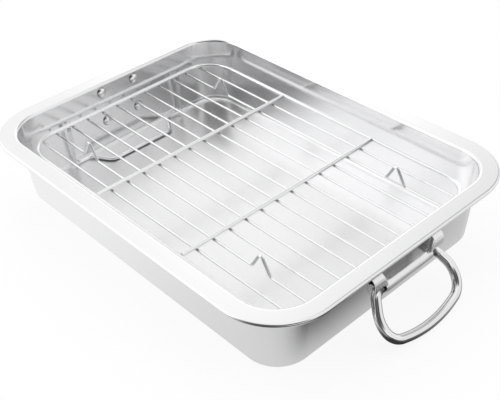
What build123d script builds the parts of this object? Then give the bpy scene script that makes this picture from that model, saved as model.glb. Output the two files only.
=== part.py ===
from build123d import *
import os
from math import acos, cos, degrees, radians, sin, sqrt, tan

# A roasting pan with a rack, in millimetres.
# The origin is the middle of the pan's underside: X runs along the pan, Y across it, Z up.
# The right end is at +X. Everything at the left end is the right end's mirror image.

# Pan
rim_length = 400.0
rim_width = 298.0
rim_corner_radius = 54.0
pan_height = 70.0
pan_sheet = 0.8
flange_width = 16.6
bead_diameter = 4.4
bead_turn_angle = 250.0
lip_radius = 3.0
floor_radius = 6.0
wall_draft = 5.0

# Bail handles: the ring lies in its own plane, with distances down from the pivot
rod_diameter = 8.2
pivot_below_rim = 28.5
pivot_reach = 11.85
shoulder_half_width = 35.84
shoulder_bend = 10.3
side_half_width = 46.16
side_drop = 21.97
side_bend = 25.9
corner_half_width = 40.82
corner_drop = 40.56
corner_bend = 16.8
grip_slope = 14.7
grip_bow_radius = 113.0
table_gap = 0.02

# Brackets: distances out from the pan's wall and up it, from the pivot's foot on the wall
bracket_sheet = 1.1
tunnel_clearance = 0.1
tunnel_half_length = 28.3
tunnel_bend = 1.2
hood_end = 41.5
hood_radius = 7.7
hood_reach = 8.1
hood_rise = 9.9
hood_open_angle = 35.0
hood_end_bend = 3.2
upper_flange_top = 23.5
upper_flange_corner = 4.0
lower_flange_bottom = 19.5
lower_flange_half_length = 28.0
lower_flange_corner = 5.0

# Rivets
rivet_shank = 5.0
rivet_head = 10.7
rivet_head_height = 2.6
rivet_tail = 9.0
rivet_tail_height = 1.6
rivet_pitch = 40.0
rivet_height_pitch = 31.5
rivet_upper_height = 18.6

# Rack
rack_end_clearance = 8.0
rack_side_clearance = 13.4
rack_corner_radius = 31.0
thick_wire = 4.0
thin_wire = 2.5
thin_wire_count = 12
outer_wire_inset = 17.12
weld_sink = 0.1
cross_wire_place = 58.5
cross_wire_sink = 0.2
rack_floor_gap = 0.25
rack_frame_height = 47.3
foot_wire_count = 2
foot_end_distance = 57.9
foot_width = 21.0
foot_height = 16.2
foot_tip_bend = 2.5
foot_base_bend = 3.0
lift_leg_place = 69.0
lift_leg_inset = 1.2
lift_leg_bend = 6.0
lift_jog_place = 50.0
lift_grip_place = 37.0
lift_grip_inset = 22.5
lift_grip_bend = 8.0

# Cuts
overrun = 2.0

os.makedirs("parts", exist_ok=True)

draft = radians(wall_draft)
rod_radius = rod_diameter / 2
pivot_height = pan_height - pivot_below_rim


def wall_x(height, depth=0.0):
    """Outside of the right wall at a height, or a point at a depth into its sheet."""
    wall = rim_length / 2 - flange_width - (pan_height - height) * tan(draft)
    return wall - depth / cos(draft)


def finish(piece, name):
    """Labels a finished piece and writes its file."""
    piece.part.label = name
    export_step(piece.part, f"parts/{name}.step")


# The pivot stands square out from its foot on the drafted wall
foot_height_on_wall = pivot_height + pivot_reach * sin(draft)
foot_x = wall_x(foot_height_on_wall)
pivot_x = foot_x + pivot_reach * cos(draft)
right_wall = Plane((foot_x, 0, foot_height_on_wall), x_dir=(0, 1, 0), z_dir=(cos(draft), 0, -sin(draft)))
left_wall = Plane((-foot_x, 0, foot_height_on_wall), x_dir=(0, -1, 0), z_dir=(-cos(draft), 0, -sin(draft)))
rivet_middle_height = rivet_upper_height - rivet_height_pitch / 2


# Pan: one section of its sheet follows half of the rim's outline, and a plate closes the floor
half_sheet = pan_sheet / 2
bead_radius = bead_diameter / 2
floor_edge = wall_x(0) - 2 * floor_radius
rim_to_floor = rim_length / 2 - floor_edge
with BuildPart() as pan:
    with BuildSketch(Plane.XZ) as pan_section:
        with BuildLine() as sheet_line:
            FilletPolyline(
                (floor_edge, half_sheet),
                (wall_x(half_sheet, half_sheet), half_sheet),
                (wall_x(pan_height - half_sheet, half_sheet), pan_height - half_sheet),
                (rim_length / 2 - bead_radius, pan_height - half_sheet),
                radius=(floor_radius - half_sheet, lip_radius - half_sheet),
            )
            CenterArc(
                (rim_length / 2 - bead_radius, pan_height - bead_radius),
                bead_radius - half_sheet,
                start_angle=90,
                arc_size=-bead_turn_angle,
            )
        trace(line_width=pan_sheet)
    with BuildLine() as half_rim:
        FilletPolyline(
            (rim_length / 2, 0),
            (rim_length / 2, rim_width / 2),
            (-rim_length / 2, rim_width / 2),
            (-rim_length / 2, 0),
            radius=rim_corner_radius,
        )
    sweep(path=half_rim.line)
    mirror(about=Plane.XZ)
    with BuildSketch():
        RectangleRounded(
            rim_length - 2 * rim_to_floor,
            rim_width - 2 * rim_to_floor,
            rim_corner_radius - rim_to_floor,
        )
    extrude(amount=pan_sheet)
    for wall in (right_wall, left_wall):
        with BuildSketch(wall):
            with Locations((0, rivet_middle_height)):
                with GridLocations(rivet_pitch, rivet_height_pitch, 2, 2):
                    Circle(rivet_shank / 2)
        extrude(amount=pan_sheet + overrun, both=True, mode=Mode.SUBTRACT)
finish(pan, "pan")


# Bracket: a stamped plate with a tunnel round the ring's straight side and a hood at each end
tunnel_inside = rod_radius + tunnel_clearance
tunnel_outside = tunnel_inside + bracket_sheet
hood_start = tunnel_half_length - bracket_sheet
hood_top = hood_rise + hood_radius
hood_angle = radians(hood_open_angle)
upper_flange_height = upper_flange_top - tunnel_inside
hood_flange_height = upper_flange_top - hood_top + bracket_sheet
lower_flange_height = lower_flange_bottom - tunnel_inside
right_section = Plane(right_wall.origin, x_dir=right_wall.z_dir, z_dir=(0, -1, 0))


def arch(reach, rise, radius):
    """Draws a filled arch that stands out from the wall: straight sides and a half-round front."""
    with BuildSketch(mode=Mode.PRIVATE) as outline:
        with Locations((0, rise)):
            Rectangle(reach, 2 * radius, align=(Align.MIN, Align.CENTER))
        with Locations((reach, rise)):
            Circle(radius)
    return outline.sketch


def hood_block(radius, start, end, end_bend):
    """A filled hood at +Y with its inner end's edge rounded."""
    with BuildPart() as block:
        with BuildSketch(right_section.offset(-start)):
            add(arch(hood_reach, hood_rise, radius))
        extrude(amount=-(end - start))
        fillet(block.edges().filter_by(GeomType.CIRCLE).sort_by(Axis.Y)[0], radius=end_bend)
    return block.part


hood_outside = hood_block(hood_radius, hood_start, hood_end, hood_end_bend)
hood_inside = hood_block(
    hood_radius - bracket_sheet,
    tunnel_half_length,
    hood_end + overrun,
    hood_end_bend - bracket_sheet,
)
hood_edge_out = hood_reach + (hood_radius + overrun) * cos(hood_angle)
hood_edge_up = hood_rise - (hood_radius + overrun) * sin(hood_angle)
below_tunnel = -tunnel_outside - overrun

with BuildPart() as right_bracket:
    with BuildSketch(right_wall):
        with Locations((0, tunnel_inside + upper_flange_height / 2)):
            Rectangle(2 * tunnel_half_length, upper_flange_height)
        with Locations((0, upper_flange_top - hood_flange_height / 2)):
            Rectangle(2 * hood_end, hood_flange_height)
        with Locations((0, -tunnel_inside - lower_flange_height / 2)):
            Rectangle(2 * lower_flange_half_length, lower_flange_height)
    extrude(amount=bracket_sheet)
    thickness_edges = right_bracket.edges().filter_by(Axis(right_wall.origin, right_wall.z_dir))
    fillet(thickness_edges.group_by(Axis.Z)[0], radius=lower_flange_corner)
    thickness_edges = right_bracket.edges().filter_by(Axis(right_wall.origin, right_wall.z_dir))
    fillet(thickness_edges.group_by(Axis.Z)[-1], radius=upper_flange_corner)
    with BuildSketch(right_section) as tunnel:
        Rectangle(bracket_sheet, 2 * tunnel_outside + 4 * tunnel_bend, align=(Align.MIN, Align.CENTER))
        add(arch(pivot_reach, 0, tunnel_outside))
        feet = tunnel.vertices().group_by(Axis.X)[1].sort_by(lambda vertex: abs(vertex.Y))
        fillet(feet[0:2], radius=tunnel_bend)
    extrude(amount=tunnel_half_length, both=True)
    add(hood_outside)
    mirror(hood_outside, about=Plane.XZ)
    with BuildSketch(right_section):
        add(arch(pivot_reach, 0, tunnel_inside))
    extrude(amount=tunnel_half_length, both=True, mode=Mode.SUBTRACT)
    add(hood_inside, mode=Mode.SUBTRACT)
    mirror(hood_inside, about=Plane.XZ, mode=Mode.SUBTRACT)
    for side in (-1, 1):
        with BuildSketch(right_section.offset(side * tunnel_half_length)):
            Polygon(
                (0, hood_rise),
                (0, below_tunnel),
                (hood_edge_out, below_tunnel),
                (hood_edge_out, hood_edge_up),
                (hood_reach, hood_rise),
                align=None,
            )
        extrude(amount=side * (hood_end - tunnel_half_length + overrun), mode=Mode.SUBTRACT)
    with BuildSketch(right_wall):
        with Locations((0, rivet_middle_height)):
            with GridLocations(rivet_pitch, rivet_height_pitch, 2, 2):
                Circle(rivet_shank / 2)
    extrude(amount=bracket_sheet, mode=Mode.SUBTRACT)
finish(right_bracket, "right_bracket")

with BuildPart() as left_bracket:
    mirror(right_bracket.part, about=Plane.YZ)
finish(left_bracket, "left_bracket")


# Rivets: a domed head inside the pan, a flatter tail outside, on each side of the two sheets
def dome_radius(width, height):
    """Radius of the sphere whose cap has this width and height."""
    return (width * width / 4 + height * height) / (2 * height)


with BuildPart() as rivet:
    with BuildSketch(Plane.XZ):
        with BuildLine():
            Polyline(
                (0, bracket_sheet + rivet_tail_height),
                (0, -pan_sheet - rivet_head_height),
            )
            RadiusArc(
                (0, -pan_sheet - rivet_head_height),
                (rivet_head / 2, -pan_sheet),
                -dome_radius(rivet_head, rivet_head_height),
            )
            Polyline(
                (rivet_head / 2, -pan_sheet),
                (rivet_shank / 2, -pan_sheet),
                (rivet_shank / 2, bracket_sheet),
                (rivet_tail / 2, bracket_sheet),
            )
            RadiusArc(
                (rivet_tail / 2, bracket_sheet),
                (0, bracket_sheet + rivet_tail_height),
                -dome_radius(rivet_tail, rivet_tail_height),
            )
        make_face()
    revolve(axis=Axis.Z)

for wall, name in ((right_wall, "right_bracket_rivets"), (left_wall, "left_bracket_rivets")):
    with BuildPart(wall) as rivets:
        with Locations((0, rivet_middle_height)):
            with GridLocations(rivet_pitch, rivet_height_pitch, 2, 2):
                add(rivet.part)
    finish(rivets, name)


# Bail handles: a closed ring of rod, tilted out until its grip rests on the table.
# A ring too short to reach the table hangs straight down.
slope = radians(grip_slope)
bow_edge_half_width = grip_bow_radius * sin(slope)
bow_edge_drop = corner_drop + (corner_half_width - bow_edge_half_width) * tan(slope)
grip_drop = bow_edge_drop + grip_bow_radius * (1 - cos(slope))
tilt = acos(min(1, (pivot_height - rod_radius - table_gap) / grip_drop))
ring_plane = Plane((pivot_x, 0, pivot_height), x_dir=(0, 1, 0), z_dir=(-cos(tilt), 0, -sin(tilt)))
with BuildPart() as flat_ring:
    with BuildLine() as half_ring:
        leg = FilletPolyline(
            (0, 0),
            (shoulder_half_width, 0),
            (side_half_width, side_drop),
            (corner_half_width, corner_drop),
            (bow_edge_half_width, bow_edge_drop),
            radius=(shoulder_bend, side_bend, corner_bend),
        )
        TangentArc(leg @ 1, (0, grip_drop), tangent=leg % 1)
    with BuildSketch(Plane.YZ):
        Circle(rod_radius)
    sweep(path=half_ring.line)
    mirror(about=Plane.YZ)

with BuildPart(ring_plane) as right_handle:
    add(flat_ring.part)
finish(right_handle, "right_handle")

with BuildPart() as left_handle:
    mirror(right_handle.part, about=Plane.YZ)
finish(left_handle, "left_handle")
print("pivot", round(pivot_x, 3), pivot_height, "tilt", round(degrees(tilt), 3), "grip drop", round(grip_drop, 3))


# Rack: it stands upside down on its two lifting handles, with its V feet upwards
thick_radius = thick_wire / 2
thin_radius = thin_wire / 2
frame_half_length = rim_length / 2 - flange_width - rack_end_clearance - thick_radius
frame_half_width = rim_width / 2 - flange_width - rack_side_clearance - thick_radius
thin_wire_height = rack_frame_height - thick_radius - thin_radius + weld_sink
outer_wire_place = frame_half_width - outer_wire_inset
with BuildPart() as rack_frame:
    with BuildLine(Plane.XY.offset(rack_frame_height)) as frame_line:
        FilletPolyline(
            (frame_half_length, -frame_half_width),
            (frame_half_length, frame_half_width),
            (-frame_half_length, frame_half_width),
            (-frame_half_length, -frame_half_width),
            radius=rack_corner_radius,
            close=True,
        )
    with BuildSketch(Plane(frame_line.line @ 0, z_dir=frame_line.line % 0)):
        Circle(thick_radius)
    sweep(path=frame_line.line)
finish(rack_frame, "rack_frame")

foot_place = frame_half_length - foot_end_distance
foot_bend_rise = foot_tip_bend * (sqrt((foot_width / 2) ** 2 + foot_height**2) / (foot_width / 2) - 1)
foot_tip_height = thin_wire_height + foot_height + foot_bend_rise
for number in range(1, thin_wire_count + 1):
    place = outer_wire_place * (2 * (number - 1) / (thin_wire_count - 1) - 1)
    with BuildPart() as rack_wire:
        with BuildLine(Plane.XZ.offset(-place)) as wire_line:
            if number in (foot_wire_count, thin_wire_count + 1 - foot_wire_count):
                FilletPolyline(
                    (-frame_half_length, thin_wire_height),
                    (-foot_place - foot_width / 2, thin_wire_height),
                    (-foot_place, foot_tip_height),
                    (-foot_place + foot_width / 2, thin_wire_height),
                    (foot_place - foot_width / 2, thin_wire_height),
                    (foot_place, foot_tip_height),
                    (foot_place + foot_width / 2, thin_wire_height),
                    (frame_half_length, thin_wire_height),
                    radius=(foot_base_bend, foot_tip_bend, foot_base_bend) * 2,
                )
            else:
                Line((-frame_half_length, thin_wire_height), (frame_half_length, thin_wire_height))
        with BuildSketch(Plane(wire_line.line @ 0, z_dir=wire_line.line % 0)):
            Circle(thin_radius)
        sweep(path=wire_line.line)
    finish(rack_wire, f"rack_wire_{number}")

cross_wire_end = frame_half_width - thick_radius + cross_wire_sink
for side, name in ((1, "rack_right_cross_wire"), (-1, "rack_left_cross_wire")):
    with BuildPart() as cross_wire:
        with BuildSketch(Plane.XZ):
            with Locations((side * cross_wire_place, rack_frame_height)):
                Circle(thick_radius)
        extrude(amount=cross_wire_end, both=True)
    finish(cross_wire, name)

lift_floor_height = pan_sheet + rack_floor_gap + thick_radius
lift_leg_top = rack_frame_height - thick_radius + weld_sink
lift_leg_out = frame_half_length - lift_leg_inset
lift_grip_out = frame_half_length - lift_grip_inset
with BuildPart() as rack_right_handle:
    with BuildLine() as lift_line:
        FilletPolyline(
            (lift_leg_out, -lift_leg_place, lift_leg_top),
            (lift_leg_out, -lift_leg_place, lift_floor_height),
            (lift_leg_out, -lift_jog_place, lift_floor_height),
            (lift_grip_out, -lift_grip_place, lift_floor_height),
            (lift_grip_out, lift_grip_place, lift_floor_height),
            (lift_leg_out, lift_jog_place, lift_floor_height),
            (lift_leg_out, lift_leg_place, lift_floor_height),
            (lift_leg_out, lift_leg_place, lift_leg_top),
            radius=(lift_leg_bend, lift_grip_bend, lift_grip_bend) * 2,
        )
    with BuildSketch(Plane(lift_line.line @ 0, z_dir=lift_line.line % 0)):
        Circle(thick_radius)
    sweep(path=lift_line.line)
finish(rack_right_handle, "rack_right_handle")

with BuildPart() as rack_left_handle:
    mirror(rack_right_handle.part, about=Plane.YZ)
finish(rack_left_handle, "rack_left_handle")
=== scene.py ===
from math import acos, atan2, cos, pi, radians, sin, sqrt, tan

import bpy
import numpy as np
from mathutils import Matrix, Vector


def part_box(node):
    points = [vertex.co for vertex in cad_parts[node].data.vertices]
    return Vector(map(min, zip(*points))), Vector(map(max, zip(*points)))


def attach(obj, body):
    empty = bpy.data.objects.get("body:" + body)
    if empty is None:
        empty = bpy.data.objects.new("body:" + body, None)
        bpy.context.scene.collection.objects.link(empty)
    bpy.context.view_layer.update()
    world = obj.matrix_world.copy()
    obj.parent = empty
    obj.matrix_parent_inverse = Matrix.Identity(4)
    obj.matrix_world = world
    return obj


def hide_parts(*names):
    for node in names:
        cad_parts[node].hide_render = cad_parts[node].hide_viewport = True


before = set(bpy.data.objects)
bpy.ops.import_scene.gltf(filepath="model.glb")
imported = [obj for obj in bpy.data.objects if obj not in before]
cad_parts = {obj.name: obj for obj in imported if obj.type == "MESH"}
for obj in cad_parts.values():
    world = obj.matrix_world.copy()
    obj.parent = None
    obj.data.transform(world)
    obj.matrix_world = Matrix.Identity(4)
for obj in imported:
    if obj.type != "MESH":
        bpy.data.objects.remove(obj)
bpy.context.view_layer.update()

# Sizes in metres, the same as the frame's. The pan's own come from its box.
MM = 0.001
_, rim_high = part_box("pan")
RIM_HALF_LENGTH = rim_high.x
RIM_HALF_WIDTH = rim_high.y
PAN_HEIGHT = rim_high.z
RIM_CORNER = 54 * MM
SHEET = 0.8 * MM
FLANGE = 16.6 * MM
BEAD_RADIUS = 2.2 * MM
BEAD_TURN = radians(250)
LIP_RADIUS = 3 * MM
FLOOR_RADIUS = 6 * MM
DRAFT = radians(5)

ROD_RADIUS = 4.1 * MM
PIVOT_HEIGHT = 41.5 * MM
PIVOT_REACH = 11.85 * MM
GRIP_DROP = 47.445 * MM
GRIP_BOW = 113 * MM
GRIP_SLOPE = radians(14.7)
TABLE_GAP = 0.02 * MM
# Half of a bail handle's ring, across and down from the middle of its straight side
RING_CORNERS = ((0, 0), (35.84 * MM, 0), (46.16 * MM, 21.97 * MM), (40.82 * MM, 40.56 * MM))
RING_BENDS = (10.3 * MM, 25.9 * MM, 16.8 * MM)

BRACKET_SHEET = 1.1 * MM
BRACKET_BEND = 1.4 * MM
BRACKET_EDGE = 0.22 * MM
TUNNEL_RADIUS = 5.3 * MM
TUNNEL_HALF_LENGTH = 28.3 * MM
BLEND_START = 22.5 * MM
BLEND_LENGTH = 8.5 * MM
HOOD_END = 41.5 * MM
HOOD_RADIUS = 7.7 * MM
HOOD_REACH = 8.1 * MM
HOOD_RISE = 9.9 * MM
HOOD_LIP = 4 * MM
UPPER_FLANGE_TOP = 23.5 * MM
UPPER_CORNER = 4 * MM
LOWER_FLANGE_BOTTOM = 19.5 * MM
LOWER_CORNER = 5 * MM

RIVET_ROWS = (18.6 * MM, -12.9 * MM)
RIVET_PITCH = 40 * MM
HEAD_RADIUS, HEAD_HEIGHT = 5.35 * MM, 2.6 * MM
TAIL_RADIUS, TAIL_HEIGHT = 4.5 * MM, 1.6 * MM
SHANK_RADIUS = 2.5 * MM
HEAD_UNDERCUT = 0.25 * MM
TAIL_UNDERCUT = 0.2 * MM
RIVET_SINK = 0.02 * MM

THICK_RADIUS = 2 * MM
THIN_RADIUS = 1.25 * MM
THIN_PITCH = 18.16 * MM
THIN_COUNT = 12
FOOTED_WIRES = (1, 10)
CROSS_PLACE = 58.5 * MM
FRAME_CORNER = 31 * MM
WIRE_SINK = 0.1 * MM
FOOT_RISE = 16.2 * MM
FOOT_TIP_BEND = 2.5 * MM
FOOT_SIDE_BEND = 3 * MM
LEG_Y = 69 * MM
LEG_BEND = 6 * MM
GRIP_SIDE_Y = 50 * MM
GRIP_HALF_LENGTH = 37 * MM
GRIP_BEND = 8 * MM
WELD_SIZE = 1.3 * MM
WELD_INSET = 0.4 * MM
CROSS_WELD_DROP = 0.3 * MM


# Node trees

class Value:
    """A value in a node tree. Its operators add Math nodes."""

    def __init__(self, tree, socket):
        self.tree = tree
        self.socket = socket

    def math(self, operation, *values):
        return self.tree.node("ShaderNodeMath", {"operation": operation}, dict(enumerate(values)))

    def __add__(self, other):
        return self.math("ADD", self, other)

    def __radd__(self, other):
        return self.math("ADD", other, self)

    def __sub__(self, other):
        return self.math("SUBTRACT", self, other)

    def __rsub__(self, other):
        return self.math("SUBTRACT", other, self)

    def __mul__(self, other):
        return self.math("MULTIPLY", self, other)

    def __truediv__(self, other):
        return self.math("DIVIDE", self, other)

    def low(self, other):
        return self.math("MINIMUM", self, other)

    def high(self, other):
        return self.math("MAXIMUM", self, other)

    def size(self):
        return self.math("ABSOLUTE", self)

    def step(self, start, end):
        """0 below start, 1 above end and a smooth rise between them."""
        settings = {"interpolation_type": "SMOOTHSTEP"}
        inputs = {"Value": self, "From Min": start, "From Max": end}
        return self.tree.node("ShaderNodeMapRange", settings, inputs)


class Tree:
    """A node tree, of a material, the world or a modifier."""

    def __init__(self, tree):
        self.tree = tree

    def node(self, kind, settings=None, inputs=None, output=0):
        """Adds a node of a type, with its settings and the values or links of its inputs."""
        made = self.tree.nodes.new(kind)
        for key, value in (settings or {}).items():
            setattr(made, key, value)
        for key, value in (inputs or {}).items():
            if isinstance(value, Value):
                self.tree.links.new(value.socket, made.inputs[key])
            else:
                made.inputs[key].default_value = value
        return Value(self, made.outputs[output]) if len(made.outputs) else None

    def place(self):
        """The point on the object, and its three parts."""
        point = self.node("ShaderNodeTexCoord", output="Object")
        split = self.node("ShaderNodeSeparateXYZ", None, {0: point}).socket.node
        return point, *(Value(self, socket) for socket in split.outputs)

    def stretch(self, point, scale):
        """The point with each part multiplied, to draw a pattern out along one way."""
        return self.node("ShaderNodeVectorMath", {"operation": "MULTIPLY"}, {0: point, 1: scale})

    def noise(self, point, scale, detail):
        inputs = {"Vector": point, "Scale": scale, "Detail": detail}
        return self.node("ShaderNodeTexNoise", None, inputs)

    def mix(self, share, first, second):
        """A colour between two colours. The numbers are the node's sockets for colours."""
        inputs = {0: share, 6: first, 7: second}
        return self.node("ShaderNodeMix", {"data_type": "RGBA"}, inputs, 2)

    def ray(self, name):
        """1 for the named kind of light ray, else 0."""
        return self.node("ShaderNodeLightPath", output=name)


def blank_tree(owner):
    """The emptied node tree of a material or world."""
    owner.use_nodes = True
    owner.node_tree.nodes.clear()
    return Tree(owner.node_tree)


# Outlines

def arc_corner(before, corner, after, radius, steps):
    """Points of the arc that rounds a corner."""
    to_before = (before - corner).normalized()
    to_after = (after - corner).normalized()
    half = to_before.angle(to_after) / 2
    middle = corner + (to_before + to_after).normalized() * (radius / sin(half))
    start = corner + to_before * (radius / tan(half)) - middle
    end = corner + to_after * (radius / tan(half)) - middle
    turn = start.angle(end)
    count = max(2, int(turn / (pi / 2) * steps))
    return [
        middle + (start * sin(turn * (1 - s)) + end * sin(turn * s)) / sin(turn)
        for s in np.linspace(0, 1, count)
    ]


def rounded(points, radii, steps):
    """A path through points in space, with each inner corner rounded to its radius."""
    points = [Vector(point) for point in points]
    path = [points[0]]
    for before, corner, after, radius in zip(points, points[1:], points[2:], radii):
        path += arc_corner(before, corner, after, radius, steps)
    return path + [points[-1]]


def wall_x(height, depth=0.0):
    """Outside of the right wall at a height, or a point at a depth into its sheet."""
    return RIM_HALF_LENGTH - FLANGE - (PAN_HEIGHT - height) * tan(DRAFT) - depth / cos(DRAFT)


# Meshes and pieces

def new_mesh(name, vertices, faces=(), edges=()):
    mesh = bpy.data.meshes.new(name)
    mesh.from_pydata([tuple(v) for v in vertices], edges, faces)
    mesh.validate()
    return mesh


def new_object(name, data):
    made = bpy.data.objects.new(name, data)
    bpy.context.scene.collection.objects.link(made)
    return made


def plain_mesh(raw, name):
    """The mesh that an object's modifiers make of it. The object itself is removed."""
    bpy.context.view_layer.update()
    done = bpy.data.meshes.new_from_object(
        raw.evaluated_get(bpy.context.evaluated_depsgraph_get()))
    done.name = name
    bpy.data.objects.remove(raw)
    return done


def finish_piece(mesh, name, body, nodes, material):
    """A finished mesh that rides on a body and stands for CAD nodes."""
    mesh.shade_smooth()
    mesh.materials.clear()
    mesh.materials.append(material)
    piece = new_object(name, mesh)
    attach(piece, body)
    if nodes:
        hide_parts(*nodes)


def band(first, second, count):
    """Faces between two rings of points, given by the number of each ring's first point."""
    return [
        (first + i, first + (i + 1) % count, second + (i + 1) % count, second + i)
        for i in range(count)
    ]


# Pan: the section of its sheet, swept round the rim

CORNER_STEPS = 30
BEND_STEPS = 12
BEAD_STEPS = 36


def pan_section():
    """The sheet's middle line on the right side, from the floor to the bead's end.

    Each point is its distance from the middle, its height and the way square to the sheet.
    """
    half = SHEET / 2
    flat = Vector((wall_x(0) - 2 * FLOOR_RADIUS, half))
    floor_corner = Vector((wall_x(half, half), half))
    lip_corner = Vector((wall_x(PAN_HEIGHT - half, half), PAN_HEIGHT - half))
    bead_start = Vector((RIM_HALF_LENGTH - BEAD_RADIUS, PAN_HEIGHT - half))
    bead_middle = Vector((RIM_HALF_LENGTH - BEAD_RADIUS, PAN_HEIGHT - BEAD_RADIUS))

    def straight(start, end, shares):
        way = (end - start).normalized()
        return [(*start.lerp(end, share), Vector((-way.y, way.x))) for share in shares]

    def bend(before, corner, after, radius):
        """The points within a bend, and the bend's two ends."""
        to_before = (before - corner).normalized()
        to_after = (after - corner).normalized()
        half_angle = to_before.angle(to_after) / 2
        middle = corner + (to_before + to_after).normalized() * (radius / sin(half_angle))
        start = corner + to_before * (radius / tan(half_angle))
        end = corner + to_after * (radius / tan(half_angle))
        first, last = start - middle, end - middle
        turn = first.angle(last)
        inside = 1 if first.x * last.y - first.y * last.x > 0 else -1
        points = []
        for step in range(1, BEND_STEPS):
            share = step / BEND_STEPS
            arm = (first * sin(turn * (1 - share)) + last * sin(turn * share)) / sin(turn)
            points.append((*(middle + arm), -arm.normalized() * inside))
        return points, start, end

    floor_bend, floor_start, floor_end = bend(flat, floor_corner, lip_corner, FLOOR_RADIUS - half)
    lip_bend, lip_start, lip_end = bend(floor_corner, lip_corner, bead_start, LIP_RADIUS - half)
    section = straight(flat, floor_start, (0, 0.5, 0.9, 1))
    section += floor_bend
    section += straight(floor_end, lip_start, (0, 0.03, 0.25, 0.5, 0.75, 0.97, 1))
    section += lip_bend
    section += straight(lip_end, bead_start, (0, 0.06, 0.5, 0.94, 1))
    for step in range(1, BEAD_STEPS + 1):
        turn = pi / 2 - BEAD_TURN * step / BEAD_STEPS
        way = Vector((cos(turn), sin(turn)))
        section.append((*(bead_middle + way * (BEAD_RADIUS - half)), way))
    return section


def rim_loop(x):
    """Places round the pan of one point of the section, and the way out there."""
    radius = RIM_CORNER - (RIM_HALF_LENGTH - x)
    middle_x, middle_y = RIM_HALF_LENGTH - RIM_CORNER, RIM_HALF_WIDTH - RIM_CORNER
    loop = []
    for corner, (side_x, side_y) in enumerate(((1, 1), (-1, 1), (-1, -1), (1, -1))):
        middle = Vector((side_x * middle_x, side_y * middle_y))
        for step in range(CORNER_STEPS + 1):
            turn = pi / 2 * (corner + step / CORNER_STEPS)
            way = Vector((cos(turn), sin(turn)))
            loop.append((middle + way * radius, way))
    return loop


def make_pan(material):
    """The sheet's two skins, each closed by one flat face in the middle of the floor."""
    section = pan_section()
    half = SHEET / 2
    rows = [(x + way.x * half, z + way.y * half, way) for x, z, way in section]
    end_x, end_z, end_out = section[-1]
    end_way = Vector((-end_out.y, end_out.x))
    rows += [
        (end_x + end_out.x * half * side, end_z + end_out.y * half * side, end_way)
        for side in (1, -1)
    ]
    rows += [(x - way.x * half, z - way.y * half, -way) for x, z, way in reversed(section)]
    vertices, normals, faces = [], [], []
    for x, z, way in rows:
        for place, out in rim_loop(x):
            vertices.append((place.x, place.y, z))
            normals.append((out.x * way.x, out.y * way.x, way.y))
    count = len(vertices) // len(rows)
    for row in range(0, len(vertices) - count, count):
        for i in range(count):
            after = (i + 1) % count
            faces.append((row + i, row + count + i, row + count + after, row + after))
    faces.append(tuple(range(count)))
    faces.append(tuple(reversed(range(len(vertices) - count, len(vertices)))))
    mesh = new_mesh("pan_shell", vertices, faces)
    finish_piece(mesh, "pan_shell", "tray", ["pan"], material)
    mesh.normals_split_custom_set_from_vertices(normals)


# The pivot stands square out from its foot on the drafted wall
FOOT_HEIGHT = PIVOT_HEIGHT + PIVOT_REACH * sin(DRAFT)
FOOT_X = wall_x(FOOT_HEIGHT)
PIVOT_X = FOOT_X + PIVOT_REACH * cos(DRAFT)
TILT = acos((PIVOT_HEIGHT - ROD_RADIUS - TABLE_GAP) / GRIP_DROP)


def on_wall(side, out, along, up):
    """A place on an end wall: out from it, along it and up it, from the pivot's foot."""
    x = FOOT_X + out * cos(DRAFT) + up * sin(DRAFT)
    return Vector((side * x, along, FOOT_HEIGHT - out * sin(DRAFT) + up * cos(DRAFT)))


# Bail handles: a closed ring of round rod

ROD_SIDES = 40
BOW_STEPS = 12


def handle_path(side):
    """The middle line of a bail handle, all the way round."""
    bow_half = GRIP_BOW * sin(GRIP_SLOPE)
    bow_edge = GRIP_DROP - GRIP_BOW * (1 - cos(GRIP_SLOPE))
    corners = [(across, down, 0) for across, down in (*RING_CORNERS, (bow_half, bow_edge))]
    bends = rounded(corners, RING_BENDS, steps=20)[1:-1]
    half = [Vector((share * bends[0].x, 0, 0)) for share in (0, 0.35, 0.7, 0.95)] + bends
    for step in range(BOW_STEPS + 1):
        turn = GRIP_SLOPE * (1 - step / BOW_STEPS)
        half.append(Vector((GRIP_BOW * sin(turn), GRIP_DROP - GRIP_BOW * (1 - cos(turn)), 0)))
    ring = half + [Vector((-p.x, p.y, 0)) for p in reversed(half[1:-1])]
    return [
        Vector((side * (PIVOT_X + p.y * sin(TILT)), p.x, PIVOT_HEIGHT - p.y * cos(TILT)))
        for p in ring
    ]


def make_handle(name, side, body, node, material):
    path = handle_path(side)
    side_way = Vector((cos(TILT), 0, side * sin(TILT)))
    vertices, normals, faces = [], [], []
    for i, point in enumerate(path):
        ahead = (path[(i + 1) % len(path)] - path[i - 1]).normalized()
        out = side_way.cross(ahead)
        for j in range(ROD_SIDES):
            turn = 2 * pi * j / ROD_SIDES
            normal = out * cos(turn) + side_way * sin(turn)
            vertices.append(point + normal * ROD_RADIUS)
            normals.append(tuple(normal))
        faces += band(i * ROD_SIDES, (i + 1) % len(path) * ROD_SIDES, ROD_SIDES)
    mesh = new_mesh(name, vertices, faces)
    finish_piece(mesh, name, body, [node], material)
    mesh.normals_split_custom_set_from_vertices(normals)


# Brackets: one stamped sheet whose section changes from the tunnel to the hood at each end

BEND_ANGLES = np.radians((15, 30, 45, 60, 75, 90))
# The upper skin's arc ends here over the tunnel, and three lip steps bring it to the join
ARC_END = radians(74)
LIP_STEP = radians(4)
LIP_STEPS = 3
JOIN_ANGLE = radians(62)
# The lower skin's first points move with the blend, so that the two skins meet
MOVED_POINTS = 13
UPPER_ARC_POINTS = 16
LOWER_ARC_POINTS = 25
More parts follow.
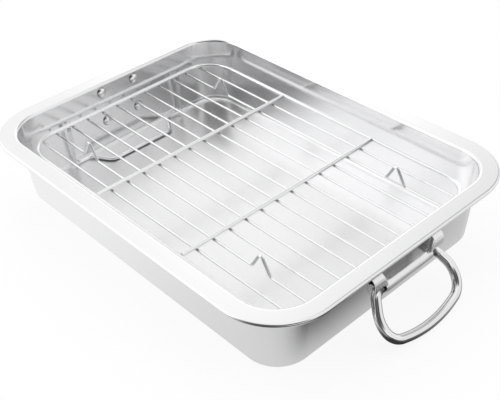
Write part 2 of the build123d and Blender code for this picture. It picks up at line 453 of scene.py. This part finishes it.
# Half of the section's places along the bracket, closer together where it changes
COLUMNS = (
    0, 8, 16, 21, 23.3, 24.2, 25, 25.8, 26.6, 27.4, 28, 28.3, 28.8, 29.4, 30, 30.5, 31.2,
    33.5, 36, 37.5, 38.5, 39.4, 40.2, 40.8, 41.2, 41.4, 41.5,
)


def blend_share(along):
    """0 in the tunnel, 1 in the hood and a smooth rise between them."""
    share = min(1, max(0, (abs(along) - BLEND_START) / BLEND_LENGTH))
    return share * share * (3 - 2 * share)


def corner_cut(along, end, radius):
    """How far the rounded corner at a flange's end takes its edge back."""
    past = abs(along) - (end - radius)
    return radius - sqrt(max(0, radius**2 - past * past)) if past > 0 else 0


def upper_section(along):
    """Outer skin from the upper flange's top to the barrel, or to the hood's open edge."""
    share = blend_share(along)

    def between(a, b):
        return a + (b - a) * share

    out, up = between(PIVOT_REACH, HOOD_REACH), between(0, HOOD_RISE)
    radius = between(TUNNEL_RADIUS, HOOD_RADIUS)
    last = between(ARC_END, 0)
    top = UPPER_FLANGE_TOP - corner_cut(along, HOOD_END, UPPER_CORNER)
    foot = up + radius + BRACKET_BEND
    edge = BRACKET_SHEET + BRACKET_BEND
    points = [(BRACKET_SHEET, top + (foot - top) * s) for s in (0, 0.05, 0.35, 0.65, 0.95, 1)]
    points += [
        (BRACKET_SHEET + BRACKET_BEND * (1 - cos(a)), foot - BRACKET_BEND * sin(a))
        for a in BEND_ANGLES
    ]
    points += [(edge + (out - edge) * s, up + radius) for s in (0.05, 0.5, 0.95, 1)]
    points += [
        (out + radius * cos(a), up + radius * sin(a))
        for a in np.linspace(pi / 2, last, UPPER_ARC_POINTS)[1:]
    ]
    for step in range(1, LIP_STEPS + 1):
        angle = last - LIP_STEP * step
        curved = Vector((out + radius * cos(angle), up + radius * sin(angle)))
        straight = Vector((out + radius, up - HOOD_LIP * step / LIP_STEPS))
        points.append(tuple(curved.lerp(straight, share)))
    return points


def lower_section(along, start):
    """Outer skin from the barrel's top round to the lower flange's bottom."""
    arc = [
        Vector((PIVOT_REACH + TUNNEL_RADIUS * cos(a), TUNNEL_RADIUS * sin(a)))
        for a in np.linspace(JOIN_ANGLE, -pi / 2, LOWER_ARC_POINTS)
    ]
    shift = Vector(start) - arc[0]
    points = [p + shift * max(0, 1 - i / MOVED_POINTS) ** 2 for i, p in enumerate(arc)]
    edge = BRACKET_SHEET + BRACKET_BEND
    foot = -TUNNEL_RADIUS - BRACKET_BEND
    bottom = -LOWER_FLANGE_BOTTOM + corner_cut(along, TUNNEL_HALF_LENGTH, LOWER_CORNER)
    points += [
        Vector((edge + (PIVOT_REACH - edge) * s, -TUNNEL_RADIUS)) for s in (0.95, 0.5, 0.05, 0)
    ]
    points += [
        Vector((BRACKET_SHEET + BRACKET_BEND * (1 - sin(a)), foot + BRACKET_BEND * cos(a)))
        for a in BEND_ANGLES
    ]
    points += [
        Vector((BRACKET_SHEET, foot + (bottom - foot) * s)) for s in (0.05, 0.35, 0.65, 0.95, 1)
    ]
    return points[1:]


def make_bracket(name, side, node, material):
    columns = [-a * MM for a in reversed(COLUMNS[1:])] + [a * MM for a in COLUMNS]
    vertices, faces = [], []
    upper, lower = [], []
    for along in columns:
        section = upper_section(along)
        upper.append(list(range(len(vertices), len(vertices) + len(section))))
        vertices += [on_wall(side, out, along, up) for out, up in section]
        if abs(along) < TUNNEL_HALF_LENGTH + 1e-6:
            rest = lower_section(along, section[-1])
            lower.append([upper[-1][-1]] + list(range(len(vertices), len(vertices) + len(rest))))
            vertices += [on_wall(side, out, along, up) for out, up in rest]
        else:
            lower.append(None)
    for group in (upper, lower):
        for one, after in zip(group, group[1:]):
            if one and after:
                for j in range(len(one) - 1):
                    face = (one[j], one[j + 1], after[j + 1], after[j])
                    faces.append(face if side > 0 else face[::-1])
    raw = new_object(name + "_sheet", new_mesh(name, vertices, faces))
    sheet = raw.modifiers.new("Sheet", "SOLIDIFY")
    sheet.thickness = BRACKET_SHEET
    sheet.offset = -1
    sheet.use_even_offset = True
    edges = raw.modifiers.new("Edges", "BEVEL")
    edges.width = BRACKET_EDGE
    edges.segments = 2
    edges.limit_method = "ANGLE"
    edges.angle_limit = radians(50)
    done = plain_mesh(raw, name)
    finish_piece(done, name, "tray", [node], material)


# Pieces that repeat are made by Geometry Nodes trees and kept as plain meshes

def new_tree(name, inputs):
    """A tree with named inputs, given as (name, kind of socket, first value) each."""
    group = bpy.data.node_groups.new(name, "GeometryNodeTree")
    inputs = [("Geometry", "Geometry", None), *inputs, ("Material", "Material", None)]
    for label, kind, value in inputs:
        kind = "NodeSocket" + kind
        socket = group.interface.new_socket(label, in_out="INPUT", socket_type=kind)
        if value is not None:
            socket.default_value = value
    group.interface.new_socket("Geometry", in_out="OUTPUT", socket_type="NodeSocketGeometry")
    tree = Tree(group)
    start = tree.node("NodeGroupInput").socket.node
    return tree, {socket.name: Value(tree, socket) for socket in start.outputs if socket.name}


def end_tree(tree, geometry, material):
    real = tree.node("GeometryNodeRealizeInstances", None, {"Geometry": geometry})
    inputs = {"Geometry": real, "Material": material}
    painted = tree.node("GeometryNodeSetMaterial", None, inputs)
    tree.node("NodeGroupOutput", None, {"Geometry": painted})
    return tree.tree


def bake(mesh, group, values, name):
    """Runs a tree on a mesh and gives back one plain mesh."""
    raw = new_object(name + "_raw", mesh)
    modifier = raw.modifiers.new("Build", "NODES")
    modifier.node_group = group
    for item in group.interface.items_tree:
        if item.in_out == "INPUT" and item.name in values:
            modifier[item.identifier] = values[item.name]
    return plain_mesh(raw, name)


def wire_tree():
    """Round wire along each line of the mesh, with closed ends."""
    tree, given = new_tree("wire", [("Radius", "Float", 0.001), ("Sides", "Int", 16)])
    line = tree.node("GeometryNodeMeshToCurve", None, {"Mesh": given["Geometry"]})
    inputs = {"Resolution": given["Sides"], "Radius": given["Radius"]}
    ring = tree.node("GeometryNodeCurvePrimitiveCircle", None, inputs)
    inputs = {"Curve": line, "Profile Curve": ring, "Fill Caps": True}
    solid = tree.node("GeometryNodeCurveToMesh", None, inputs)
    return end_tree(tree, solid, given["Material"])


def weld_tree():
    """A small smooth bead of metal at each point, each of its own size and turn."""
    tree, given = new_tree("welds", [("Size", "Float", 0.001), ("Seed", "Int", 3)])
    inputs = {"Radius": given["Size"], "Subdivisions": 3}
    ball = tree.node("GeometryNodeMeshIcoSphere", None, inputs)
    # The random node's sockets 2 and 3 are its smallest and largest number, 0 and 1 its vectors
    inputs = {2: 0.85, 3: 1.1, "Seed": given["Seed"]}
    size = tree.node("FunctionNodeRandomValue", {"data_type": "FLOAT"}, inputs, 1)
    inputs = {0: (0, 0, 0), 1: (6.28, 6.28, 6.28), "Seed": given["Seed"]}
    turn = tree.node("FunctionNodeRandomValue", {"data_type": "FLOAT_VECTOR"}, inputs)
    inputs = {"Points": given["Geometry"], "Instance": ball, "Rotation": turn, "Scale": size}
    beads = tree.node("GeometryNodeInstanceOnPoints", None, inputs)
    return end_tree(tree, beads, given["Material"])


def rivet_tree():
    """The given rivet at each corner of a square on the wall."""
    tree, given = new_tree("rivets", [("Across", "Float", 0.04), ("Up", "Float", 0.03)])
    inputs = {"Size X": given["Across"], "Size Y": given["Up"], "Vertices X": 2, "Vertices Y": 2}
    grid = tree.node("GeometryNodeMeshGrid", None, inputs)
    inputs = {"Points": grid, "Instance": given["Geometry"]}
    four = tree.node("GeometryNodeInstanceOnPoints", None, inputs)
    return end_tree(tree, four, given["Material"])


def line_mesh(name, lines, closed):
    """A mesh of bare edges, one chain for each line."""
    vertices, edges = [], []
    for line in lines:
        first = len(vertices)
        vertices += line
        edges += [(i, i + 1) for i in range(first, len(vertices) - 1)]
        if closed:
            edges.append((len(vertices) - 1, first))
    return new_mesh(name, vertices, edges=edges)


# Rivets

RIVET_SIDES = 32


def dome(radius, height, count):
    """Outline of a dome from its top to its edge: the radius and the drop at each point."""
    ball = (radius * radius + height * height) / (2 * height)
    reach = atan2(radius, ball - height)
    return [(ball * sin(a), ball * (1 - cos(a))) for a in np.linspace(0, reach, count)]


def rivet_mesh(name):
    """A domed head inside the pan, a shank and a flatter tail outside."""
    head_base, tail_base = -SHEET + RIVET_SINK, BRACKET_SHEET - RIVET_SINK
    head = dome(HEAD_RADIUS, HEAD_HEIGHT, count=12)
    tail = dome(TAIL_RADIUS, TAIL_HEIGHT, count=10)
    profile = [(r, drop - SHEET - HEAD_HEIGHT) for r, drop in head]
    profile += [(HEAD_RADIUS - HEAD_UNDERCUT, head_base), (SHANK_RADIUS, head_base)]
    profile += [(SHANK_RADIUS, tail_base), (TAIL_RADIUS - TAIL_UNDERCUT, tail_base)]
    profile += [(r, BRACKET_SHEET + TAIL_HEIGHT - drop) for r, drop in reversed(tail)]
    turns = [2 * pi * k / RIVET_SIDES for k in range(RIVET_SIDES)]
    vertices = [(r * cos(turn), r * sin(turn), z) for r, z in profile[1:-1] for turn in turns]
    low = len(vertices)
    faces = []
    for row in range(0, low - RIVET_SIDES, RIVET_SIDES):
        faces += band(row, row + RIVET_SIDES, RIVET_SIDES)
    vertices += [(0, 0, profile[0][1]), (0, 0, profile[-1][1])]
    last = low - RIVET_SIDES
    faces += [(low, (k + 1) % RIVET_SIDES, k) for k in range(RIVET_SIDES)]
    faces += [(low + 1, last + k, last + (k + 1) % RIVET_SIDES) for k in range(RIVET_SIDES)]
    return new_mesh(name, vertices, faces)


def make_rivets(name, side, node, tree, material):
    values = {"Across": RIVET_PITCH, "Up": RIVET_ROWS[0] - RIVET_ROWS[1], "Material": material}
    done = bake(rivet_mesh(name), tree, values, name)
    middle = on_wall(side, 0, 0, (RIVET_ROWS[0] + RIVET_ROWS[1]) / 2)
    across, up = Vector((0, 1, 0)), Vector((side * sin(DRAFT), 0, cos(DRAFT)))
    out = Vector((side * cos(DRAFT), 0, -sin(DRAFT)))
    turn = Matrix((across, up, out)).transposed().to_4x4()
    done.transform(Matrix.Translation(middle) @ turn)
    if side < 0:
        done.flip_normals()
    done.set_sharp_from_angle(angle=radians(40))
    finish_piece(done, name, "tray", [node], material)


# Rack: it stands upside down on its two lifting handles

FRAME_X = RIM_HALF_LENGTH - FLANGE - 10 * MM
FRAME_Y = RIM_HALF_WIDTH - FLANGE - 15.4 * MM
FRAME_Z = 47.3 * MM
THIN_Z = FRAME_Z - THICK_RADIUS - THIN_RADIUS + WIRE_SINK
FOOT_X_PLACE = FRAME_X - 57.9 * MM
FOOT_HALF = 10.5 * MM
# The corner of a V foot lies a little beyond the tip of its rounded bend
FOOT_SIDE = sqrt(FOOT_HALF**2 + FOOT_RISE**2)
FOOT_TIP = THIN_Z + FOOT_RISE + FOOT_TIP_BEND * (FOOT_SIDE / FOOT_HALF - 1)
GRIP_Z = SHEET + 0.25 * MM + THICK_RADIUS
LEG_X = FRAME_X - 1.2 * MM
GRIP_X = FRAME_X - 22.5 * MM


def thin_line(place, footed):
    """The middle line of a long wire, with a V foot near each end if it is footed."""
    points = [(-FRAME_X, place, THIN_Z)]
    if footed:
        for middle in (-FOOT_X_PLACE, FOOT_X_PLACE):
            points += [
                (middle - FOOT_HALF, place, THIN_Z),
                (middle, place, FOOT_TIP),
                (middle + FOOT_HALF, place, THIN_Z),
            ]
    points.append((FRAME_X, place, THIN_Z))
    return rounded(points, [FOOT_SIDE_BEND, FOOT_TIP_BEND, FOOT_SIDE_BEND] * 2, steps=10)


def lift_line(side):
    """The middle line of a lifting handle: down a leg, along the bent grip and up again."""
    points = [
        (LEG_X, -LEG_Y, FRAME_Z - THICK_RADIUS + WIRE_SINK),
        (LEG_X, -LEG_Y, GRIP_Z),
        (LEG_X, -GRIP_SIDE_Y, GRIP_Z),
        (GRIP_X, -GRIP_HALF_LENGTH, GRIP_Z),
    ]
    points += [(x, -y, z) for x, y, z in reversed(points)]
    bends = [LEG_BEND, *[GRIP_BEND] * 4, LEG_BEND]
    return rounded([(side * x, y, z) for x, y, z in points], bends, steps=12)


def make_rack(material):
    tree = wire_tree()
    corners = [
        (FRAME_X, 0), (FRAME_X, FRAME_Y), (-FRAME_X, FRAME_Y),
        (-FRAME_X, -FRAME_Y), (FRAME_X, -FRAME_Y), (FRAME_X, 0),
    ]
    frame_line = rounded([(x, y, FRAME_Z) for x, y in corners], [FRAME_CORNER] * 4, steps=18)[:-1]
    places = [THIN_PITCH * (n - (THIN_COUNT - 1) / 2) for n in range(THIN_COUNT)]
    thin_lines = [thin_line(y, n in FOOTED_WIRES) for n, y in enumerate(places)]
    cross_end = FRAME_Y - THICK_RADIUS + 2 * WIRE_SINK
    cross_lines = [
        [(s * CROSS_PLACE, -cross_end, FRAME_Z), (s * CROSS_PLACE, cross_end, FRAME_Z)]
        for s in (1, -1)
    ]
    thick, thin = (THICK_RADIUS, 20), (THIN_RADIUS, 16)
    runs = [
        ("rack_frame_wire", [frame_line], thick, ["rack_frame"]),
        ("rack_long_wires", thin_lines, thin, [f"rack_wire_{n + 1}" for n in range(THIN_COUNT)]),
        ("rack_cross_wires", cross_lines, thick,
         ["rack_right_cross_wire", "rack_left_cross_wire"]),
        ("rack_lifting_handles", [lift_line(1), lift_line(-1)], thick,
         ["rack_right_handle", "rack_left_handle"]),
    ]
    for name, lines, (radius, sides), nodes in runs:
        values = {"Radius": radius, "Sides": sides, "Material": material}
        raw = line_mesh(name, lines, closed=lines[0] is frame_line)
        done = bake(raw, tree, values, name)
        done.set_sharp_from_angle(angle=radians(50))
        finish_piece(done, name, "rack", nodes, material)
    welds = []
    for y in places:
        for x in (FRAME_X - WELD_INSET, CROSS_PLACE):
            welds += [(s * x, y, THIN_Z + THIN_RADIUS - WIRE_SINK) for s in (1, -1)]
    for x, y, z in (
        (CROSS_PLACE, cross_end - WELD_INSET, FRAME_Z - CROSS_WELD_DROP),
        (LEG_X, LEG_Y, FRAME_Z - THICK_RADIUS - WIRE_SINK),
    ):
        welds += [(s * x, t * y, z) for s in (1, -1) for t in (1, -1)]
    values = {"Size": WELD_SIZE, "Seed": 5, "Material": material}
    done = bake(new_mesh("weld_points", welds), weld_tree(), values, "rack_welds")
    finish_piece(done, "rack_welds", "rack", [], material)


# Finishes

# The colour of painted shade, and of the heat marks by the rack's welds
DARK = (0.05, 0.05, 0.05, 1)
CLOUD_SCALE = 22.0


def steel(name, colour, roughness, bump, ways, grain_scale, spread,
          colour_spread=0.02, floor_extra=0.0, painted_shade_and_marks=None):
    """Steel with a fine grain, faint clouds and dark patches of painted shade, among them heat
    marks by the rack's welds.

    The bump is the grain's height in metres. The ways multiply the point's parts, so that
    the grain is drawn out along a small one. The spreads are how far the grain and clouds
    move the roughness and the colour. Near height 0 the steel is rougher by floor_extra.
    """
    material = bpy.data.materials.new(name)
    tree = blank_tree(material)
    point, x, y, z = tree.place()
    if floor_extra:
        roughness = (1.0 - z.step(1 * MM, 9 * MM)) * floor_extra + roughness
    grain = tree.noise(tree.stretch(point, ways), grain_scale, 4)
    cloud = tree.noise(point, CLOUD_SCALE, 3)
    tone = (grain - 0.5) * colour_spread + (cloud - 0.5) * colour_spread
    darker = tuple(part * 0.9 for part in colour)
    shade = tree.mix((0.12 - tone * 4).high(0.0), (*colour, 1), (*darker, 1))
    rough = (grain - 0.5) * spread + (cloud - 0.5) * spread + roughness
    # Darken to DARK where painted shade is given, and where the rack's weld heat marks are
    if painted_shade_and_marks:
        shade = tree.mix(painted_shade_and_marks(x, y, z), shade, DARK)
    normal = tree.node("ShaderNodeBump", None, {"Distance": bump, "Height": grain})
    inputs = {"Base Color": shade, "Metallic": 1.0, "Roughness": rough, "Normal": normal}
    shader = tree.node("ShaderNodeBsdfPrincipled", None, inputs)
    tree.node("ShaderNodeOutputMaterial", None, {"Surface": shader})
    return material


def rack_shade_and_heat_marks(x, y, z):
    """Dark on the rack: painted shade under its thick wires and grips, where the thin wires meet
    the frame and in its V feet, and beside the cross wires' welds a painted shadow of the cross
    wires with some heat marks.

    Painted shade also dims the thin wires and the frame's long sides a little.
    """
    # Painted shade that dims the thin wires, without their feet
    below = 1.0 - z.step(FRAME_Z - 1.6 * MM, FRAME_Z - 0.8 * MM)
    above = z.step(THIN_Z - 2 * MM, THIN_Z - 1.5 * MM)
    thin = below * above * (x.step(-0.02, 0.06) * 0.05 + 0.11)
    # Beside the welds on the cross wires' outer sides a painted shadow of the cross wires with
    # some heat marks, and painted shade where the thin wires meet the frame
    past_cross = (x.size() - CROSS_PLACE) * x / x.size()
    by_cross = past_cross.step(1.5 * MM, 2 * MM) * (1.0 - past_cross.step(2.3 * MM, 3.1 * MM))
    by_frame = x.size().step(FRAME_X - 4.5 * MM, FRAME_X - 2.5 * MM) * 0.6
    by_weld = by_cross.high(by_frame) * below * above * 0.6
    # Painted shade under the cross wires and the lifting handles' grips
    at_cross = 1.0 - (x.size() - CROSS_PLACE).size().step(1.8 * MM, 2.2 * MM)
    under = at_cross * (1.0 - z.step(FRAME_Z - 1.5 * MM, FRAME_Z - 0.8 * MM)) * 0.5
    grip = 1.0 - z.step(SHEET + THICK_RADIUS * 0.45, SHEET + THICK_RADIUS * 0.9)
    grip = grip * (1.0 - y.size().step(46 * MM, 52 * MM))
    under = under.high(grip * 0.8)
    # Painted shade in the V feet, weaker at the left end
    in_foot = 1.0 - (x.size() - FOOT_X_PLACE).size().step(FOOT_HALF, FOOT_HALF + 2 * MM)
    in_foot = in_foot * z.step(THIN_Z + 1 * MM, THIN_Z + 3 * MM)
    in_foot = in_foot * (1.0 - z.step(FOOT_TIP - 4 * MM, FOOT_TIP - 2.5 * MM))
    in_foot = in_foot * (1.0 - y.size().step(FRAME_Y - 8 * MM, FRAME_Y - 6 * MM))
    in_foot = in_foot * (x.step(-0.01, 0.01) * 0.4 + 0.1)
    # Painted shade that dims the frame's long sides a little
    long_side = y.size().step(FRAME_Y - 2.8 * MM, FRAME_Y - 2 * MM)
    long_side = long_side * (x.step(-0.1, 0.08) * 0.14 + 0.08)
    return by_weld.high(under).high(in_foot).high(thin).high(long_side)


def painted_pivot_shade(x, y, z):
    """Painted shade on the rod where it turns into the bracket's tunnel, under the hoods."""
    along = y.size().step(25 * MM, 27 * MM) * (1.0 - y.size().step(33 * MM, 36 * MM))
    height = z.step(PIVOT_HEIGHT - 8 * MM, PIVOT_HEIGHT - 5 * MM)
    return along * height * 0.9


def painted_slot_shade(x, y, z):
    """Painted shade in the bracket's recesses: the plate above the tunnel and the hoods' insides.
    """
    plate = 1.0 - x.size().step(FOOT_X + 3 * MM, FOOT_X + 6 * MM)
    plate = plate * (1.0 - y.size().step(22 * MM, 32 * MM))
    plate = plate * z.step(PIVOT_HEIGHT, PIVOT_HEIGHT + 4 * MM) * 0.45
    middle = on_wall(1, HOOD_REACH, 0, HOOD_RISE)
    across, up = x.size() - middle.x, z - middle.z
    skin_start, skin_end = HOOD_RADIUS - 0.9 * MM, HOOD_RADIUS - 0.4 * MM
    inside = 1.0 - (across * across + up * up).step(skin_start**2, skin_end**2)
    return plate.high(inside * y.size().step(29 * MM, 31 * MM) * 0.92)


def painted_head_shade(x, y, z):
    """A ring of painted shade where each round head meets the wall."""
    wall = FOOT_X - SHEET + (z - FOOT_HEIGHT) * tan(DRAFT)
    return (1.0 - (wall - x.size()).step(0.6 * MM, 1.4 * MM)) * 0.7


pan_finish = steel(
    "pan_steel", (0.95, 0.95, 0.955), roughness=0.19, bump=0.004 * MM,
    ways=(0.2, 3, 3), grain_scale=900, spread=0.05, colour_spread=0.01, floor_extra=0.12,
)
bracket_finish = steel(
    "bracket_steel", (0.95, 0.95, 0.95), roughness=0.25, bump=0.002 * MM,
    ways=(3, 0.2, 3), grain_scale=900, spread=0.04, painted_shade_and_marks=painted_slot_shade,
)
rivet_finish = steel(
    "rivet_steel", (0.95, 0.95, 0.95), roughness=0.12, bump=0.003 * MM,
    ways=(1, 1, 1), grain_scale=700, spread=0.04, painted_shade_and_marks=painted_head_shade,
)
rod_finish = steel(
    "rod_steel", (0.9, 0.9, 0.9), roughness=0.08, bump=0.002 * MM,
    ways=(1, 1, 1), grain_scale=600, spread=0.03, painted_shade_and_marks=painted_pivot_shade,
)
chrome_finish = steel(
    "rack_chrome", (0.97, 0.97, 0.975), roughness=0.07, bump=0.002 * MM,
    ways=(1, 1, 1), grain_scale=700, spread=0.03, painted_shade_and_marks=rack_shade_and_heat_marks,
)

make_pan(pan_finish)
make_handle("right_bail_rod", 1, "right_bail", "right_handle", rod_finish)
make_handle("left_bail_rod", -1, "left_bail", "left_handle", rod_finish)
make_bracket("right_bracket_sheet", 1, "right_bracket", bracket_finish)
make_bracket("left_bracket_sheet", -1, "left_bracket", bracket_finish)
rivets = rivet_tree()
make_rivets("right_rivets", 1, "right_bracket_rivets", rivets, rivet_finish)
make_rivets("left_rivets", -1, "left_bracket_rivets", rivets, rivet_finish)
make_rack(chrome_finish)


# Studio

WHITE = (1, 1, 1, 1)
FLOOR_HALF = 4.0
LENS, SENSOR = 63.913, 36
CAMERA_PLACE = (503.408, -430.029, 508.898)
CAMERA_TURNS = (138.719, -37.084, -3.085)


def make_floor():
    """A pale floor. The camera sees it as white with the object's soft shadow.

    The steel sees painted shadow and light on it, a tone that changes with the place, as its
    outer walls in the photo do.
    """
    material = bpy.data.materials.new("floor")
    tree = blank_tree(material)
    _, x, y, _ = tree.place()
    # Painted light along the near side, a little darker toward the right
    by_near_side = 0.93 - x.step(-0.15, 0.2) * 0.25
    # Beyond the right end, painted shadow beside the handle's near leg and paler away from it
    by_right_end = (x - 0.228) * 1.5 + (y + 0.055).size() * 3.4 - 0.04
    by_right_end = by_right_end.high(0.04).low(0.78)
    # Paler again by the near right corner
    by_corner = 1.0 - y.step(-0.15, -0.055)
    by_right_end = by_right_end + by_corner * (0.62 - by_right_end)
    at_right_end = x.step(0.165, 0.215)
    tone = by_near_side + at_right_end * (by_right_end - by_near_side)
    # Painted shade between the pan and the camera
    toward_camera = (x * 0.75 - y * 0.66).step(0.275, 0.35)
    tone = tone * (1.0 - toward_camera * 0.97)
    plain = tree.node("ShaderNodeBsdfDiffuse", None, {"Color": (0.8, 0.8, 0.8, 1)})
    white = tree.node("ShaderNodeEmission", None, {"Color": WHITE, "Strength": 1.1})
    # Painted shadow and light, seen only in the steel's reflections
    reflected_painted_tone = tree.node("ShaderNodeEmission", None, {"Color": WHITE, "Strength": tone})
    inputs = {0: tree.ray("Is Camera Ray") * 0.8, 1: plain, 2: white}
    for_camera = tree.node("ShaderNodeMixShader", None, inputs)
    inputs = {0: tree.ray("Is Glossy Ray"), 1: for_camera, 2: reflected_painted_tone}
    whole = tree.node("ShaderNodeMixShader", None, inputs)
    tree.node("ShaderNodeOutputMaterial", None, {"Surface": whole})
    half = FLOOR_HALF
    corners = [(-half, -half, 0), (half, -half, 0), (half, half, 0), (-half, half, 0)]
    mesh = new_mesh("floor", corners, [(0, 1, 2, 3)])
    mesh.materials.append(material)
    floor = new_object("floor", mesh)


def make_world():
    """A bright studio. The camera sees it as white.

    The steel sees it darker round the camera, at the right of the back and at the right
    end, and brighter low at the back and at the left of the front.
    """
    world = bpy.data.worlds.new("studio")
    bpy.context.scene.world = world
    tree = blank_tree(world)
    ray = tree.node("ShaderNodeTexCoord", output="Generated")

    def part(way, edge, full):
        """A part of the studio: 1 for rays close to its way, 0 for rays beyond its edge.

        The edge and where it is full are dot products of the ray and the way.
        """
        settings = {"operation": "DOT_PRODUCT"}
        closeness = tree.node("ShaderNodeVectorMath", settings, {0: ray, 1: way}, "Value")
        return closeness.step(edge, full)

    by_camera = part((0.38, -0.80, 0.46), edge=0.64, full=0.95)
    right_of_camera = part((0.78, -0.22, 0.585), edge=0.91, full=0.97)
    round_camera = by_camera.high(right_of_camera)
    right_back = part((-0.133, 0.754, 0.643), edge=0.86, full=0.975)
    low_back = part((-0.55, 0.70, 0.46), edge=0.93, full=0.99)
    left_front = part((-0.60, -0.66, 0.46), edge=0.7, full=0.95)
    right_end = part((0.75, 0.45, 0.48), edge=0.83, full=0.98)
    light = 0.96 - right_back * 0.46 - right_end * 0.12 + low_back * 0.35 + left_front * 0.42
    light = light * (1.0 - round_camera * 0.9)
    inputs = {"Color": WHITE, "Strength": light.high(tree.ray("Is Camera Ray"))}
    shader = tree.node("ShaderNodeBackground", None, inputs)
    tree.node("ShaderNodeOutputWorld", None, {"Surface": shader})


def make_camera():
    """The camera that was fitted to the photo."""
    azimuth, elevation, roll = (radians(turn) for turn in CAMERA_TURNS)
    level = cos(elevation)
    ahead = Vector((cos(azimuth) * level, sin(azimuth) * level, sin(elevation)))
    level_right = ahead.cross(Vector((0, 0, 1))).normalized()
    level_up = level_right.cross(ahead)
    right = level_right * cos(roll) + level_up * sin(roll)
    up = level_up * cos(roll) - level_right * sin(roll)
    data = bpy.data.cameras.new("camera")
    data.lens = LENS
    data.sensor_width = SENSOR
    data.sensor_fit = "HORIZONTAL"
    data.clip_start = 0.01
    data.clip_end = 50
    camera = new_object("camera", data)
    turn = Matrix((right, up, -ahead)).transposed().to_4x4()
    camera.matrix_world = Matrix.Translation(Vector(CAMERA_PLACE) * MM) @ turn
    bpy.context.scene.camera = camera


make_floor()
make_world()
make_camera()
bpy.context.scene.view_settings.view_transform = "Standard"
bpy.context.scene.cycles.glossy_bounces = 8
